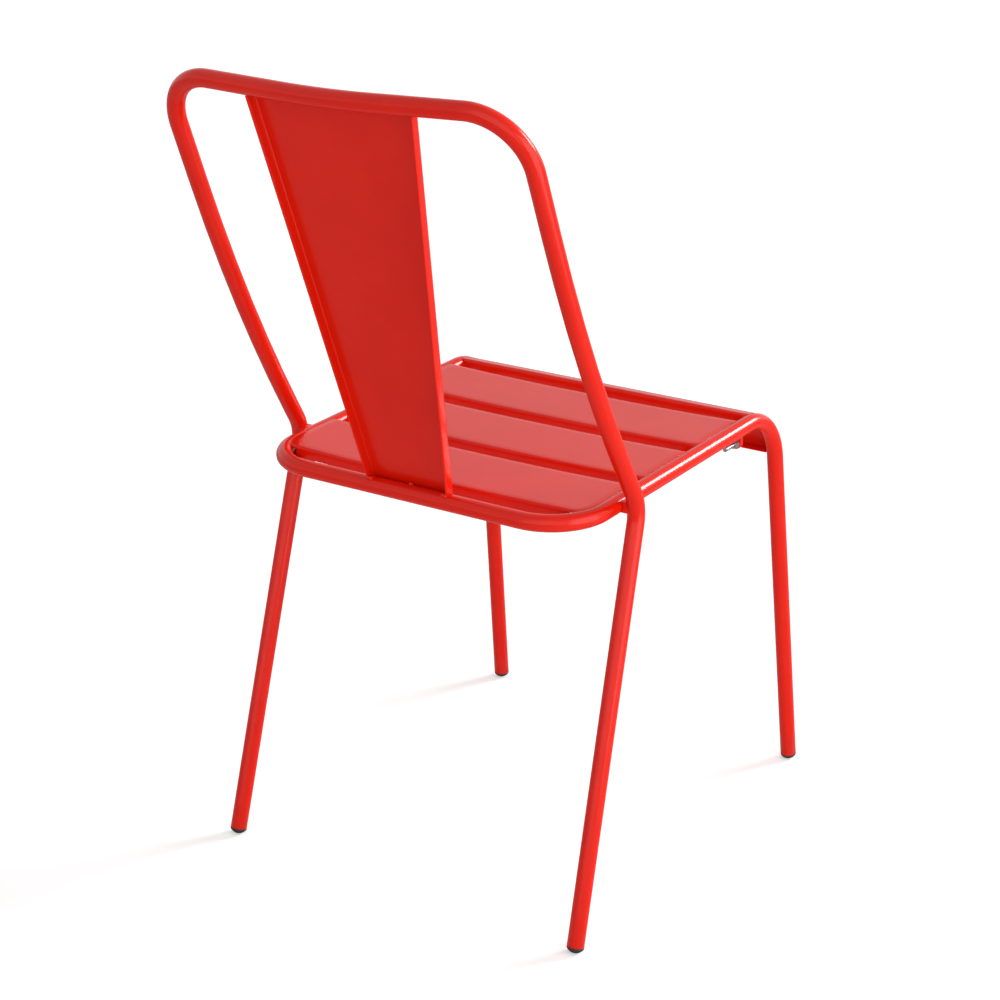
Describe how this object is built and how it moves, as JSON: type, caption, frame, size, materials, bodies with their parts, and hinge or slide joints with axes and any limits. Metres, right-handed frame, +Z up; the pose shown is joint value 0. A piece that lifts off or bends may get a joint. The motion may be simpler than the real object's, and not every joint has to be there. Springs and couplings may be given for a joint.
{
  "type": "bistro chair",
  "caption": "Armless metal side chair with bent tube frame, slatted seat with a curved front slat, and a tapered sheet back splat.",
  "frame": {"origin": "on the floor, under the middle of the chair's outline seen from above", "axes": "+Z up, the sitter faces -Y, +X to the sitter's left"},
  "size_m": [0.4592, 0.6093, 0.8652],
  "materials": {
    "red_powder_coat": "semi-gloss powder coat",
    "black_plastic": "matt",
    "zinc_steel": "satin zinc plate"
  },
  "bodies": {
    "root": {"back_splat": "red_powder_coat", "back_tube": "red_powder_coat", "fixing_washers": "zinc_steel", "foot_plug_front_left": "black_plastic", "foot_plug_front_right": "black_plastic", "foot_plug_rear_left": "black_plastic", "foot_plug_rear_right": "black_plastic", "front_bolts": "zinc_steel", "front_lug_left": "red_powder_coat", "front_lug_right": "red_powder_coat", "front_nuts": "zinc_steel", "rear_gusset_left": "red_powder_coat", "rear_gusset_right": "red_powder_coat", "rear_nuts": "zinc_steel", "rear_studs": "zinc_steel", "seat_bearer_left": "red_powder_coat", "seat_bearer_right": "red_powder_coat", "seat_slat_curved": "red_powder_coat", "seat_slat_front": "red_powder_coat", "seat_slat_middle": "red_powder_coat", "seat_slat_rear": "red_powder_coat", "seat_tube": "red_powder_coat", "upright_joint_left": "red_powder_coat", "upright_joint_right": "red_powder_coat"}
  },
  "joints": []
}
